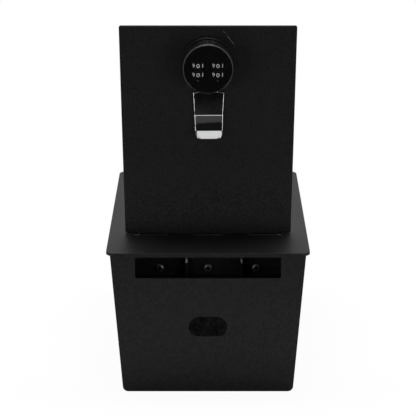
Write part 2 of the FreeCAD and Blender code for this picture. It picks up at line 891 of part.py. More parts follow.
def spindle():
    """Shaft from the knob through the barrel to the cam."""
    shaft = bar(spindle_radius, Vector(0, 0, cam_top), Vector(0, 0, knob_bottom + spindle_seat))
    shaft = shaft.fuse(square_bar(spindle_square, cam_bottom, cam_top))
    low = Vector(0, 0, cam_bottom - cut_spare)
    hole = bar(screw_radius, low, Vector(0, 0, cam_bottom + cam_screw_depth))
    return on_lock(shaft.cut(hole))


def cam_slot(direction):
    """Slot along an even spiral, so that its follower moves out in step with the turn."""
    rate = bolt_throw / math.radians(knob_turn)
    inner = []
    outer = []
    tips = []
    for step in range(cam_path_points):
        turn = math.radians(knob_turn) * step / (cam_path_points - 1)
        radius = follower_start + rate * turn
        angle = direction + turn
        centre = Vector(radius * math.cos(angle), radius * math.sin(angle), 0)
        way = Vector(
            rate * math.cos(angle) - radius * math.sin(angle),
            rate * math.sin(angle) + radius * math.cos(angle),
            0,
        ).normalize()
        side = Vector(way.y, -way.x, 0).multiply(cam_slot_half)
        inner.append(centre.sub(side))
        outer.append(centre.add(side))
        tips.append((centre, way))
    inner_curve = Part.BSplineCurve()
    inner_curve.interpolate(inner)
    outer_curve = Part.BSplineCurve()
    outer_curve.interpolate(outer)
    first_centre, first_way = tips[0]
    last_centre, last_way = tips[-1]
    start_tip = first_centre.sub(Vector(first_way).multiply(cam_slot_half))
    end_tip = last_centre.add(Vector(last_way).multiply(cam_slot_half))
    outline = Part.Wire(Part.__sortEdges__([
        outer_curve.toShape(),
        Part.Arc(outer[-1], end_tip, inner[-1]).toShape(),
        inner_curve.toShape(),
        Part.Arc(inner[0], start_tip, outer[0]).toShape(),
    ]))
    outline.translate(Vector(0, 0, cam_bottom - cut_spare))
    return Part.Face(outline).extrude(Vector(0, 0, cam_thickness + 2 * cut_spare))


def scroll_cam():
    """Cam disc with a spiral slot for each bolt."""
    disc = bar(cam_radius, Vector(0, 0, cam_bottom), Vector(0, 0, cam_top))
    side = spindle_square + 2 * cam_bore_clearance
    disc = disc.cut(square_bar(side, cam_bottom - cut_spare, cam_top + cut_spare))
    for quarter in range(3):
        disc = disc.cut(cam_slot(math.radians(90 * quarter)))
    return on_lock(disc)


def cam_washer():
    """Washer that holds the cam on the spindle."""
    low = cam_bottom - cam_washer_thickness
    washer = bar(cam_washer_radius, Vector(0, 0, low), Vector(0, 0, cam_bottom))
    return on_lock(washer.cut(bar(screw_radius, Vector(0, 0, low), Vector(0, 0, cam_bottom))))


def cam_screw():
    """Cap screw in the end of the spindle."""
    seat = cam_bottom - cam_washer_thickness
    low = seat - cam_screw_head_height
    screw = bar(cam_screw_head_radius, Vector(0, 0, low), Vector(0, 0, seat))
    screw = screw.fuse(bar(screw_radius, Vector(0, 0, seat), Vector(0, 0, cam_bottom + cam_screw_depth)))
    socket = hexagon(socket_across_flats, Vector(0, 0, low), Z_AXIS, socket_depth)
    return on_lock(screw.cut(socket).removeSplitter())


def turned(shape, quarter):
    """Shape drawn along +X, turned about the knob axis by quarter turns."""
    shape.rotate(Vector(0, 0, 0), Z_AXIS, 90 * quarter)
    return shape


def follower_pin(quarter):
    """Pin pressed through a bolt's tongue into its cam slot."""
    low = cam_bottom - follower_end
    pin = bar(follower_radius, Vector(follower_start, 0, low), Vector(follower_start, 0, bolt_top))
    return on_lock(turned(pin, quarter))


def with_pin_hole(bolt):
    """Bolt drilled for its follower pin."""
    low = Vector(follower_start, 0, bolt_bottom - cut_spare)
    return bolt.cut(bar(follower_radius, low, Vector(follower_start, 0, bolt_top + cut_spare)))


def side_bolt(quarter):
    """Flat bolt with a narrow tongue over the cam and a rounded tip."""
    half = bolt_width / 2
    tongue = tongue_width / 2
    points = [
        Vector(tongue_start, -tongue, bolt_bottom),
        Vector(tongue_reach, -tongue, bolt_bottom),
        Vector(tongue_reach, -half, bolt_bottom),
        Vector(side_bolt_tip, -half, bolt_bottom),
        Vector(side_bolt_tip, half, bolt_bottom),
        Vector(tongue_reach, half, bolt_bottom),
        Vector(tongue_reach, tongue, bolt_bottom),
        Vector(tongue_start, tongue, bolt_bottom),
    ]
    inner = [bolt_corner_radius, tongue_fillet, bolt_corner_radius]
    radii = inner + [bolt_tip_radius, bolt_tip_radius] + inner
    bolt = prism(points, radii, Vector(0, 0, bolt_thickness))
    return on_lock(turned(with_pin_hole(bolt), quarter))


def rear_bolt():
    """Short bolt at the lid's lock end."""
    half = rear_bolt_width / 2
    points = [
        Vector(tongue_start, -half, bolt_bottom),
        Vector(rear_bolt_tip, -half, bolt_bottom),
        Vector(rear_bolt_tip, half, bolt_bottom),
        Vector(tongue_start, half, bolt_bottom),
    ]
    radii = [bolt_corner_radius, bolt_tip_radius, bolt_tip_radius, bolt_corner_radius]
    bolt = prism(points, radii, Vector(0, 0, bolt_thickness))
    return on_lock(turned(with_pin_hole(bolt), 1))


def side_guides(quarter):
    """Two bridges under the lid that carry a side bolt."""
    half = bolt_width / 2 + guide_clearance
    outer = half + guide_wall
    low = bolt_bottom - guide_clearance - guide_bridge
    guides = []
    for reach in (guide_inner_reach, guide_outer_reach):
        points = [
            Vector(reach, -outer, low),
            Vector(reach + guide_length, -outer, low),
            Vector(reach + guide_length, outer, low),
            Vector(reach, outer, low),
        ]
        guide = prism(points, [guide_corner_radius] * 4, Vector(0, 0, -lid_thickness - low))
        start = reach - cut_spare
        end = reach + guide_length + cut_spare
        way = box(start, end, -half, half, bolt_bottom - guide_clearance, bolt_top + guide_clearance)
        guides.append(turned(guide.cut(way), quarter))
    return on_lock(Part.makeCompound(guides))


def rear_guide():
    """Grooved block for the rear bolt, tucked under the cam's edge."""
    half = rear_bolt_width / 2 + guide_clearance
    outer = half + guide_wall
    block = box(rear_guide_reach, rear_guide_end, -outer, outer, bolt_bottom, -lid_thickness)
    start = rear_guide_reach - cut_spare
    end = rear_guide_end + cut_spare
    groove = box(start, end, -half, half, bolt_bottom - cut_spare, bolt_top + guide_clearance)
    return on_lock(turned(block.cut(groove), 1))


def pieces():
    """Every node of the assembly by name."""
    nodes = {
        "body_wrapper": body_wrapper(),
        "front_wall": front_wall(),
        "rear_wall": rear_wall(),
        "top_frame": top_frame(),
        "hinge_pocket": hinge_pocket(),
        "pocket_gussets": pocket_gussets(),
        "hinge_fixed_leaf": hinge_fixed_leaf(),
        "hinge_pin": hinge_pin(),
        "hinge_screws": hinge_screws(),
        "hinge_nuts": hinge_nuts(),
        "floor_mat": floor_mat(),
        "lid_plate": lid_plate(),
        "hinge_lid_leaf": hinge_lid_leaf(),
        "leaf_studs": leaf_studs(),
        "leaf_nuts": leaf_nuts(),
        "pull_tab": pull_tab(),
        "lock_barrel": lock_barrel(),
        "lock_nut": lock_nut(),
        "bolt_guides_right": side_guides(0),
        "bolt_guides_left": side_guides(2),
        "bolt_guide_rear": rear_guide(),
        "knob_body": knob_body(),
        "knob_face": knob_face(),
        "wheel_axles": wheel_axles(),
        "wheel_springs": wheel_springs(),
        "spindle": spindle(),
        "scroll_cam": scroll_cam(),
        "cam_washer": cam_washer(),
        "cam_screw": cam_screw(),
        "lock_bolt_right": side_bolt(0),
        "lock_bolt_left": side_bolt(2),
        "lock_bolt_rear": rear_bolt(),
        "follower_pin_right": follower_pin(0),
        "follower_pin_left": follower_pin(2),
        "follower_pin_rear": follower_pin(1),
    }
    for index, (x, y) in enumerate(wheel_places(), start=1):
        nodes["number_wheel_%d" % index] = number_wheel(x, y)
    return nodes


def main():
    os.makedirs("parts", exist_ok=True)
    for name, shape in pieces().items():
        shape.exportStep("parts/%s.step" % name)
        count = len(shape.Solids)
        print("%-20s solids %d  volume %.1f  valid %s" % (name, count, shape.Volume, shape.isValid()))


main()
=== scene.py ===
import json
import math

import bmesh
import bpy
from mathutils import Matrix, Vector


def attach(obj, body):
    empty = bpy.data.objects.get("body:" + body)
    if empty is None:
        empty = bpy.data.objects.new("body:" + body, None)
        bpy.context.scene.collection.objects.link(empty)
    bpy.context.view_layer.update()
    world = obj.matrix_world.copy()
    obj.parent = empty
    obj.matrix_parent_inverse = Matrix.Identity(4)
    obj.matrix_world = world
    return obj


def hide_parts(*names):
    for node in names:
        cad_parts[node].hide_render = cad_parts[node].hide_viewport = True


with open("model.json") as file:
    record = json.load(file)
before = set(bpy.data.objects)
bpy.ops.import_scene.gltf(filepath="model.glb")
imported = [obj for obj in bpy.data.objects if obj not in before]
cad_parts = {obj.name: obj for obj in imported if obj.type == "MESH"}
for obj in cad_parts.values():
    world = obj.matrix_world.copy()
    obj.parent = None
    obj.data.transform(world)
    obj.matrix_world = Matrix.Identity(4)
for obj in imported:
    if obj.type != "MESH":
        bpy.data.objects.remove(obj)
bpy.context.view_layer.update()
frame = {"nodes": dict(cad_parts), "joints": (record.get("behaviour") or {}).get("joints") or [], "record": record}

# Drop-in strongbox with its lid standing open, in metres.
# +X runs along the hinge, +Y from the hinge side to the lock side, +Z up.

MM = 0.001

# Points nearer than this are one point
WELD = 0.001 * MM

# Camera, from the converging edges of the lid, the frame and the front wall
IMAGE_SIZE = 416
FOCAL_PIXELS = 1450
SENSOR_WIDTH = 36.0
CAMERA_PLACE = (0.0, -1.3404, 0.5434)
CAMERA_PITCH = 17.0

# Soft lamps: place, point aimed at, width and height, and watts
LAMPS = {
    "overhead": ((0.0, -0.80, 1.40), (0.0, -0.10, 0.20), (0.9, 0.95), 2.15),
    "rear_top": ((0.0, 0.12, 1.60), (0.0, 0.0, 0.13), (1.3, 0.26), 16.0),
    "front_left": ((-1.25, -1.35, 0.175), (0.0, -0.10, 0.16), (0.7, 1.25), 11.6),
    "front_right": ((1.25, -1.35, 0.175), (0.0, -0.10, 0.16), (0.7, 1.25), 11.6),
}

# Room about the object: brightness of its backdrop and sides, and where each comes in along +Y
BACKDROP_LEVEL = 0.80
SIDE_LEVEL = 0.34
BACKDROP_EDGE = (0.0, 0.45)
SIDE_EDGE = (-0.55, -0.05)

# How bright the room in front is, against half of one plus the sine of the elevation
ROOM_LEVELS = (
    (0.0, 0.05), (0.318, 0.026), (0.364, 0.003), (0.412, 0.003), (0.430, 1.0), (0.470, 1.0),
    (0.480, 0.070), (0.555, 0.055), (0.578, 0.008), (0.85, 0.010), (0.905, 0.10), (1.0, 0.10),
)

# Round table top under the box
FLOOR_RADIUS = 380.0 * MM
FLOOR_SIDES = 96
FLOOR_DROP = 0.2 * MM
FLOOR_WHITENESS = 0.95

# Reflection of the black finishes
BLACK_SPECULAR = 0.16

# Knob and its base ring, from the knob's axis and the lid's face
KNOB_RADIUS = 21.97 * MM
KNOB_TOP = 23.0 * MM
RIM_CHAMFER = 0.8 * MM
RIM_DEPTH = 2.4 * MM
BASE_RADIUS = 23.47 * MM
BASE_TOP = 4.3 * MM
BASE_CHAMFER = 0.8 * MM

# Rubbed lands of the knob's ribs: how deep the polish goes and how it fades under the rim
LAND_DEPTH = 0.30 * MM
LAND_CREST = 0.10 * MM
LAND_FADE = 0.2 * MM

# Top frame: front and rear half widths, half depth, corner radii packed and shown, and picking slack
FRAME_FRONT_HALF = 90.0 * MM
FRAME_REAR_HALF = 93.0 * MM
FRAME_HALF_DEPTH = 135.0 * MM
FRAME_CORNER = 4.5 * MM
FRAME_SOFT_CORNER = 8.0 * MM
FRAME_CORNER_SLACK = 0.1 * MM

# Scratch on the lid's face: its start, its end and its width
LID_SCRATCH = ((0.01308, -0.08599, 0.32174), (0.02539, -0.08517, 0.30615), 0.45 * MM)

# Heights between which the lid's coat is painted paler towards the hinge, as painted light
LID_PAINTED_LIGHT_START = 215.0 * MM
LID_PAINTED_LIGHT_END = 145.0 * MM

# Hinge screws behind the window: their spacing, height and the black painted shade in and about each socket
SCREW_PITCH = 44.4 * MM
SCREW_HEIGHT = 99.0 * MM
SCREW_SHADE_RADIUS = 1.7 * MM
SCREW_BRIGHT_RADIUS = 2.2 * MM

# Pocket gussets: where they stand along the hinge, and half the width of their rubbed noses
GUSSET_PLACES = (-19.8 * MM, 30.9 * MM)
NOSE_HALF = 0.75 * MM

# Heights of a nose: where the coat ends, where the bare steel is whole, and where its painted highlight is
# brightest and fades to dull again
NOSE_COAT_END = 105.6 * MM
NOSE_BARE = 106.6 * MM
NOSE_PAINTED_HIGHLIGHT = 107.8 * MM
NOSE_HIGHLIGHT_END = 110.0 * MM

# Dial digits
WHEEL_COUNT = 4
WHEEL_RADIUS = 6.8 * MM
DIGIT_COUNT = 10
DIGIT_HEIGHT = 3.2 * MM
DIGIT_WIDTH = 3.2 * MM
DIGIT_SPREAD = 1.3
DIGIT_RISE = 0.08 * MM
DIGIT_ROOT = 0.10 * MM
DIGIT_SLICES = 9

# Digit outlines, before they are scaled to size
OUTLINE_THINNING = 0.018
OUTLINE_STEPS = 6
OUTLINE_WELD = 1e-4

# Index marks under the lower wheels, from the wheel's axis: down the face, and out from it
MARKED_WHEELS = (3, 4)
MARK_HALF = 0.75 * MM
MARK_TIP = 4.5 * MM
MARK_BASE = 5.6 * MM
MARK_FOOT = 5.9 * MM
MARK_TOP = 6.05 * MM

# Finger pull, in the lock's own axes: across, along and out from the lid's face
PULL_THICKNESS = 1.8 * MM
PULL_TOP = 14.0 * MM
PULL_CREASE = 47.5 * MM
PULL_SCOOP = 61.8 * MM
PULL_END = 68.3 * MM
PULL_SCOOP_RISE = 3.6 * MM
PULL_LIP_RISE = 4.6 * MM
PULL_NECK_HALF = 8.5 * MM
PULL_ROOT_HALF = 13.8 * MM
PULL_CREASE_HALF = 12.7 * MM
PULL_LIP_HALF = 12.1 * MM
PULL_KNOB_EDGE = 22.0 * MM
PULL_SHOULDER = 26.5 * MM
PULL_SHOULDER_LENGTH = 0.3 * MM
PULL_CREASE_BEND = 9.0 * MM
PULL_SCOOP_BEND = 1.6 * MM
PULL_SCOOP_SWEEP = 60.0 * MM
PULL_SAG = 0.35 * MM
PULL_BOW = 0.5 * MM
PULL_CORNER = 5.0 * MM
PULL_CORNER_RISE = 6.5 * MM
PULL_EDGE = 0.45 * MM
PULL_END_ROUND = 0.35 * MM
PULL_TIP_SHARE = 0.3
PULL_LIP_LENGTH = 8.0 * MM
PULL_LIP_SHARE = 0.40
PULL_SHIFT = 0.6 * MM
PULL_LIP_SHIFT = 0.3 * MM
PULL_TWIST = 0.025
PULL_TWIST_START = 43.5 * MM

# Points of the pull's mesh: their spacing along it, in each bend, over each face and round each edge
PULL_SPACING = 0.4 * MM
PULL_BEND_STEPS = 12
PULL_FACE_POINTS = 9
PULL_EDGE_STEPS = 6

# Floor mat: its rounded edge, and the angles in degrees that tell flat faces and edges apart
MAT_EDGE = 0.9 * MM
MAT_EDGE_STEPS = 3
MAT_FLAT_ANGLE = 1.0
MAT_EDGE_ANGLE = 60.0


def joint_named(name):
    """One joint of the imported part."""
    return next(joint for joint in frame["joints"] if joint["name"] == name)


def upright(axis_out, axis_up, origin):
    """Matrix with X across, Y along axis_up and Z along axis_out."""
    out = Vector(axis_out).normalized()
    up = Vector(axis_up).normalized()
    across = up.cross(out)
    turn = Matrix((across, up, out)).transposed().to_4x4()
    return Matrix.Translation(Vector(origin)) @ turn


# The lock's own axes: origin on the knob's axis at the lid's face
knob_joint = joint_named("knob_turn")
lid_out = -Vector(knob_joint["axis"])
lid_up = lid_out.cross(Vector((1, 0, 0)))
lock_axes = upright(lid_out, lid_up, knob_joint["pos_m"])


class Socket:
    """A value, colour or vector in a material; arithmetic on values adds Math nodes."""

    def __init__(self, tree, output=None):
        self.tree = tree
        self.output = output

    def add(self, kind, settings=None, inputs=None, output=0):
        """Add a node: its settings first, then a value or a link for each of its sockets."""
        node = self.tree.nodes.new(kind)
        for name, value in (settings or {}).items():
            if name == "stops":
                elements = node.color_ramp.elements
                while len(elements) < len(value):
                    elements.new(1.0)
                for element, (position, colour) in zip(elements, value):
                    element.position = position
                    element.color = colour
            else:
                setattr(node, name, value)
        for name, value in (inputs or {}).items():
            if isinstance(value, Socket):
                self.tree.links.new(value.output, node.inputs[name])
            else:
                node.inputs[name].default_value = value
        return Socket(self.tree, node.outputs[output] if node.outputs else None)

    def math(self, operation, first, second=0.0, clamp=False):
        """A Math node on one or two values."""
        settings = {"operation": operation, "use_clamp": clamp}
        return self.add("ShaderNodeMath", settings, {0: first, 1: second})

    def __add__(self, other):
        return self.math("ADD", self, other)

    __radd__ = __add__

    def __sub__(self, other):
        return self.math("SUBTRACT", self, other)

    def __rsub__(self, other):
        return self.math("SUBTRACT", other, self)

    def __mul__(self, other):
        return self.math("MULTIPLY", self, other)

    __rmul__ = __mul__

    def __truediv__(self, other):
        return self.math("DIVIDE", self, other)

    def __rtruediv__(self, other):
        return self.math("DIVIDE", other, self)

    def __pow__(self, other):
        return self.math("POWER", self, other)

    def __abs__(self):
        return self.math("ABSOLUTE", self)

    def clamped(self):
        """The value kept between 0 and 1."""
        return self.math("ADD", self, 0.0, clamp=True)

    def ramp(self, low, high):
        """0 below low, 1 above high and smooth between them; low may be the larger."""
        settings = {"interpolation_type": "SMOOTHSTEP"}
        sign = 1.0 if high > low else -1.0
        inputs = {0: self * sign, 1: low * sign, 2: high * sign}
        return self.add("ShaderNodeMapRange", settings, inputs)

    def mix(self, first, second):
        """Colour between first and second by this value, on the Mix node's sockets for colours."""
        settings = {"data_type": "RGBA"}
        return self.add("ShaderNodeMix", settings, {0: self, 6: first, 7: second}, output=2)

    def between(self, low, high):
        """Value from low to high as this one goes from 0 to 1."""
        return self * (high - low) + low


def grey(value, warmth=0.0):
    """A neutral colour, slightly warm or cold."""
    return (value * (1 + warmth), value, value * (1 - warmth), 1.0)


def start_material(name):
    """An empty node material and a start for its expressions."""
    material = bpy.data.materials.new(name)
    material.use_nodes = True
    tree = material.node_tree
    tree.nodes.clear()
    return material, Socket(tree)


def finish_material(material, nodes, **inputs):
    """Connect a Principled shader; names are its sockets with underscores for spaces."""
    sockets = {name.replace("_", " "): value for name, value in inputs.items()}
    shader = nodes.add("ShaderNodeBsdfPrincipled", None, sockets)
    nodes.add("ShaderNodeOutputMaterial", None, {"Surface": shader})
    return material


def place(nodes):
    """Position in the piece's own axes, which move with it."""
    return nodes.add("ShaderNodeTexCoord", output="Object")


def axis_part(nodes, vector, axis):
    """The X, Y or Z of a vector."""
    return nodes.add("ShaderNodeSeparateXYZ", None, {0: vector}, axis)


def vector_maths(nodes, operation, first, second):
    """A vector, or the value that a dot product or a distance gives."""
    output = "Value" if operation in ("DOT_PRODUCT", "DISTANCE") else "Vector"
    return nodes.add("ShaderNodeVectorMath", {"operation": operation}, {0: first, 1: second}, output)


def lengthened(nodes, way, length):
    """A fixed direction times a value."""
    return nodes.add("ShaderNodeVectorMath", {"operation": "SCALE"}, {0: way, "Scale": length})


def stretched(nodes, vector, scale):
    """Position scaled by its own factor along each axis."""
    return vector_maths(nodes, "MULTIPLY", vector, scale)


def noise(nodes, vector, scale, detail=2.0, roughness=0.5, distortion=0.0):
    """Soft random value about one half."""
    inputs = {
        "Vector": vector, "Scale": scale, "Detail": detail, "Roughness": roughness,
        "Distortion": distortion,
    }
    return nodes.add("ShaderNodeTexNoise", None, inputs)


def rounded_normal(nodes, radius):
    """Surface normal as if the edges were rounded."""
    return nodes.add("ShaderNodeBevel", {"samples": 4}, {"Radius": radius})


def bump(nodes, height, distance, strength, edge=0.0):
    """Surface normal from a height field, over edges rounded by a small radius."""
    inputs = {"Height": height, "Distance": distance, "Strength": strength}
    if edge > 0:
        inputs["Normal"] = rounded_normal(nodes, edge)
    return nodes.add("ShaderNodeBump", None, inputs)


def edge_mask(nodes, radius):
    """1 along sharp edges, 0 on flat faces."""
    straight = nodes.add("ShaderNodeNewGeometry", output="Normal")
    match = vector_maths(nodes, "DOT_PRODUCT", rounded_normal(nodes, radius), straight)
    return match.ramp(0.995, 0.90)


def segment_mask(nodes, vector, start, end, width):
    """1 on the line from start to end and 0 beyond its width, with the way along it as well."""
    run = Vector(end) - Vector(start)
    length = run.length
    way = tuple(run / length)
    offset = vector_maths(nodes, "SUBTRACT", vector, start)
    along = vector_maths(nodes, "DOT_PRODUCT", offset, way) / length
    foot = lengthened(nodes, way, along.clamped() * length)
    away = vector_maths(nodes, "DISTANCE", offset, foot)
    return away.ramp(width, width * 0.25), along


def from_knob_axis(nodes, where):
    """Distance from the knob's axis and height over the lid's face."""
    out = tuple(lid_out)
    offset = vector_maths(nodes, "SUBTRACT", where, tuple(knob_joint["pos_m"]))
    height = vector_maths(nodes, "DOT_PRODUCT", offset, out)
    reach = vector_maths(nodes, "DISTANCE", offset, lengthened(nodes, out, height))
    return reach, height


def powder_coat(name, tone=1.0, scratch=None):
    """Fine-textured black powder coat, worn a little along its edges; a scratched one is painted paler low down as
    painted light.
    """
    material, nodes = start_material(name)
    where = place(nodes)
    pebbles = noise(nodes, where, 430.0, detail=3.0, roughness=0.6)
    grains = noise(nodes, where, 1500.0, roughness=0.6)
    clouds = noise(nodes, where, 14.0, detail=4.0, roughness=0.6)
    texture = pebbles * 0.65 + grains * 0.35
    wear = edge_mask(nodes, 0.7 * MM) * noise(nodes, where, 160.0, detail=3.0).ramp(0.45, 0.75)
    specks = noise(nodes, where, 620.0, detail=1.0).ramp(0.72, 0.80) * clouds.ramp(0.42, 0.62)
    lumps = texture.ramp(0.36, 0.62)
    colour = lumps.mix(grey(0.0028 * tone), grey(0.0082 * tone, -0.02))
    colour = (specks * 0.5).mix(colour, grey(0.030))
    colour = (wear * 0.45).mix(colour, grey(0.032, 0.02))
    rough = clouds.between(0.46, 0.56) + (texture - 0.5) * 0.10
    if scratch:
        # Painted light: the coat is painted paler towards the hinge, where less light reaches the lid
        painted_low_light = axis_part(nodes, where, "Z").ramp(LID_PAINTED_LIGHT_START, LID_PAINTED_LIGHT_END)
        colour = painted_low_light.mix(colour, lumps.mix(grey(0.0045), grey(0.0130, -0.02)))
        start, end, width = scratch
        line, along = segment_mask(nodes, where, start, end, width)
        broken = noise(nodes, where, 520.0).ramp(0.42, 0.60)
        line = line * broken * along.ramp(1.05, 0.55)
        colour = (line * 0.9).mix(colour, grey(0.19))
        rough = rough - line * 0.12
    normal = bump(nodes, texture, 0.45 * MM, 0.90, edge=0.35 * MM)
    return finish_material(
        material, nodes, Base_Color=colour, Roughness=rough,
        Specular_IOR_Level=BLACK_SPECULAR, Normal=normal,
    )


def lock_lacquer():
    """Satin black lacquer on the lock's die-cast pieces, brighter where fingers rub their edges."""
    material, nodes = start_material("lock_black")
    where = place(nodes)
    level = 0.0018
    haze = noise(nodes, where, 120.0, detail=4.0, roughness=0.6)
    wear = edge_mask(nodes, 0.5 * MM) * noise(nodes, where, 260.0, detail=3.0).ramp(0.40, 0.70)
    colour = haze.mix(grey(level * 0.8), grey(level * 1.3, -0.02))
    colour = (wear * 0.5).mix(colour, grey(0.05))
    normal = bump(nodes, noise(nodes, where, 2400.0), 0.03 * MM, 0.4, edge=0.15 * MM)
    return finish_material(
        material, nodes, Base_Color=colour, Roughness=haze.between(0.20, 0.28),
        Specular_IOR_Level=BLACK_SPECULAR, Normal=normal,
    )


def turned_black(name, radius, top, chamfer, rim_tone, land_tone):
    """Satin black turned piece whose chamfered rim and rib lands are polished by handling; the rim's upper side is
    painted brighter, a painted highlight.
    """
    material, nodes = start_material(name)
    where = place(nodes)
    reach, height = from_knob_axis(nodes, where)
    haze = noise(nodes, where, 120.0, detail=4.0, roughness=0.6)
    corner = radius + top
    slope = (reach + height).ramp(corner - chamfer * 1.25, corner - chamfer * 1.05)
    rim = slope * height.ramp(top - chamfer * 1.6, top - chamfer * 1.1)
    under_rim = height.ramp(top - RIM_DEPTH, top - RIM_DEPTH - LAND_FADE)
    land = reach.ramp(radius - LAND_DEPTH, radius - LAND_CREST) * under_rim
    # Painted highlight: the polished rim is painted brighter on its upper side, where light falls
    upper = ((axis_part(nodes, where, "Z") - knob_joint["pos_m"][2]) / radius).ramp(-0.3, 1.0)
    colour = haze.mix(grey(0.0015), grey(0.0024, -0.02))
    colour = rim.mix(colour, upper.mix(grey(rim_tone * 0.4), grey(rim_tone)))
    colour = land.mix(colour, grey(land_tone))
    normal = bump(nodes, noise(nodes, where, 2400.0), 0.03 * MM, 0.4, edge=0.10 * MM)
    return finish_material(
        material, nodes, Base_Color=colour, Metallic=rim * 0.8, Roughness=haze.between(0.22, 0.32),
        Specular_IOR_Level=BLACK_SPECULAR, Normal=normal,
    )


def wheel_plastic():
    """Matt black moulded dial wheel, polished by fingertips in patches."""
    material, nodes = start_material("wheel_plastic")
    where = place(nodes)
    patches = noise(nodes, where, 500.0, detail=3.0)
    colour = patches.mix(grey(0.0012), grey(0.0026))
    normal = bump(nodes, noise(nodes, where, 5200.0), 0.02 * MM, 0.5, edge=0.12 * MM)
    return finish_material(
        material, nodes, Base_Color=colour, Roughness=patches.between(0.45, 0.65),
        Specular_IOR_Level=0.06, Normal=normal,
    )


def digit_paint(name, thin, full):
    """Print with slightly uneven cover, from its thin to its full brightness."""
    material, nodes = start_material(name)
    cover = noise(nodes, place(nodes), 1800.0, detail=3.0)
    colour = cover.mix(grey(thin, 0.02), grey(full, 0.02))
    normal = bump(nodes, cover, 0.02 * MM, 0.3)
    return finish_material(
        material, nodes, Base_Color=colour, Roughness=cover.between(0.45, 0.65), Normal=normal,
    )


def chrome_plate():
    """Polished chrome with faint rubbing marks along the pull."""
    material, nodes = start_material("chrome_plate")
    where = place(nodes)
    along_pull = stretched(nodes, where, (1.0, 0.05, 0.05))
    streaks = noise(nodes, along_pull, 1500.0, detail=3.0, roughness=0.6)
    smears = noise(nodes, where, 90.0, detail=3.0, roughness=0.6)
    colour = smears.mix(grey(0.66, -0.01), grey(0.74, -0.01))
    rough = smears.between(0.03, 0.06) + streaks * 0.05
    normal = bump(nodes, streaks * 0.05 + smears, 0.06 * MM, 1.0)
    return finish_material(
        material, nodes, Base_Color=colour, Metallic=1.0, Roughness=rough, Normal=normal,
    )


def zinc_plate():
    """Bright zinc on steel: cool grey with a cloudy passivated film and rolled grain."""
    material, nodes = start_material("zinc_plate")
    where = place(nodes)
    film = noise(nodes, where, 70.0, detail=4.0, roughness=0.6, distortion=0.4)
    spangle = nodes.add("ShaderNodeTexVoronoi", None, {"Vector": where, "Scale": 260.0}, "Color")
    grain = noise(nodes, stretched(nodes, where, (0.08, 1.0, 1.0)), 1400.0)
    shade = (film * 0.7 + axis_part(nodes, spangle, "X") * 0.3).clamped()
    colour = shade.mix((0.40, 0.41, 0.43, 1.0), (0.60, 0.61, 0.62, 1.0))
    rough = film.between(0.26, 0.42) + grain * 0.08
    normal = bump(nodes, grain, 0.02 * MM, 0.35, edge=0.2 * MM)
    return finish_material(
        material, nodes, Base_Color=colour, Metallic=1.0, Roughness=rough, Normal=normal,
    )


def black_oxide():
    """Blackened hinge steel, dull with a trace of oil."""
    material, nodes = start_material("black_oxide")
    where = place(nodes)
    film = noise(nodes, where, 700.0, detail=3.0)
    wear = edge_mask(nodes, 0.3 * MM) * noise(nodes, where, 220.0).ramp(0.5, 0.8)
    colour = film.mix(grey(0.005), grey(0.012, -0.02))
    colour = (wear * 0.3).mix(colour, grey(0.06))
    normal = bump(nodes, film, 0.02 * MM, 0.4, edge=0.2 * MM)
    return finish_material(
        material, nodes, Base_Color=colour, Roughness=film.between(0.40, 0.55),
        Specular_IOR_Level=0.12, Normal=normal,
    )


def screw_steel():
    """Burnished screw heads: rubbed bright round their crowns, with a black painted shade in and about the
    sockets.
    """
    material, nodes = start_material("screw_steel")
    where = place(nodes)
    film = noise(nodes, where, 900.0, detail=3.0)
    across = abs(axis_part(nodes, where, "X"))
    aside = across.math("MINIMUM", across, abs(across - SCREW_PITCH))
    rise = axis_part(nodes, where, "Z") - SCREW_HEIGHT
    reach = (aside * aside + rise * rise) ** 0.5
    # Painted shade: black in and about each socket, wider than the socket's own recess
    crown = reach.ramp(SCREW_SHADE_RADIUS, SCREW_BRIGHT_RADIUS)
    colour = crown.mix(grey(0.002), film.mix(grey(0.30), grey(0.42, -0.02)))
    normal = bump(nodes, film, 0.02 * MM, 0.3, edge=0.2 * MM)
    return finish_material(
        material, nodes, Base_Color=colour, Metallic=crown * 0.9, Roughness=film.between(0.24, 0.36),
        Specular_IOR_Level=BLACK_SPECULAR, Normal=normal,
    )


def rubbed_gussets():
    """Black coated ribs, the coat painted paler as painted light, whose upper noses are rubbed to bare steel with
    a painted highlight.
    """
    material, nodes = start_material("rubbed_gussets")
    where = place(nodes)
    patches = noise(nodes, where, 300.0, detail=3.0)
    height = axis_part(nodes, where, "Z")
    across = axis_part(nodes, where, "X")
    left, right = GUSSET_PLACES
    aside = across.math("MINIMUM", abs(across - left), abs(across - right))
    nose = aside.ramp(NOSE_HALF * 1.3, NOSE_HALF * 0.7) * height.ramp(NOSE_COAT_END, NOSE_BARE)
    bare = nose * patches.ramp(0.30, 0.45)
    # Painted highlight: the bare steel is painted brightest just above the coat and duller higher up
    steel = height.ramp(NOSE_HIGHLIGHT_END, NOSE_PAINTED_HIGHLIGHT).mix(grey(0.16), grey(0.90))
    # The coat is a paler copy of the black coat, painted light in the shaded pocket
    colour = bare.mix(patches.mix(grey(0.008), grey(0.014)), steel)
    normal = bump(nodes, patches, 0.05 * MM, 0.4, edge=0.3 * MM)
    return finish_material(
        material, nodes, Base_Color=colour, Metallic=bare * 0.6, Roughness=patches.between(0.40, 0.55),
        Specular_IOR_Level=BLACK_SPECULAR, Normal=normal,
    )


